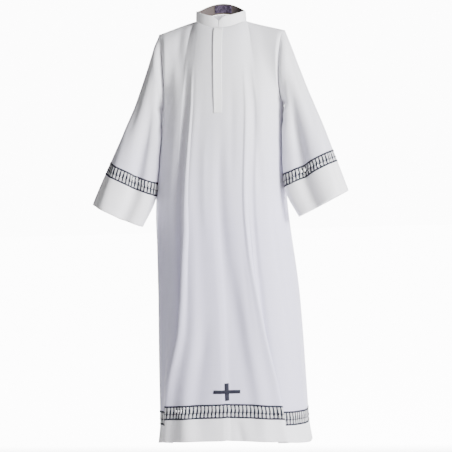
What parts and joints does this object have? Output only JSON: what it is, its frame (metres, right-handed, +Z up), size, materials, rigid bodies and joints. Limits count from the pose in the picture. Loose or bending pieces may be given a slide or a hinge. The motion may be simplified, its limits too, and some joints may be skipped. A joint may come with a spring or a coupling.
{
  "type": "alb robe",
  "caption": "Long white liturgical robe with a stand collar, fly placket, bell sleeves, openwork bands and a navy cross, filled out as worn and hollow.",
  "frame": {"origin": "midway between the two shoulder seams at the base of the neck, where the robe rests on its wearer", "axes": "+Z up, along the robe; the front faces -Y; +X to the wearer's left"},
  "size_m": [0.8954, 0.4054, 1.5367],
  "materials": {
    "white_cloth": "matt plain-woven white cloth",
    "openwork_lace": "white thread bundles",
    "navy_thread": "navy satin-stitch embroidery",
    "woven_label": "bare woven label with a mottled weave",
    "fastener_steel": "plain wire"
  },
  "bodies": {
    "root": {"front_panel": "white_cloth", "back_panel": "white_cloth", "hem_lace_front": "openwork_lace", "hem_lace_back": "openwork_lace", "hem_border_front": "white_cloth", "hem_border_back": "white_cloth", "sleeve_left": "white_cloth", "sleeve_right": "white_cloth", "sleeve_lace_front_left": "openwork_lace", "sleeve_lace_back_left": "openwork_lace", "sleeve_lace_front_right": "openwork_lace", "sleeve_lace_back_right": "openwork_lace", "cuff_left": "white_cloth", "cuff_right": "white_cloth", "collar": "white_cloth", "placket": "white_cloth", "cross": "navy_thread", "neck_label": "woven_label", "collar_hook": "fastener_steel", "collar_eye": "fastener_steel"}
  },
  "joints": []
}
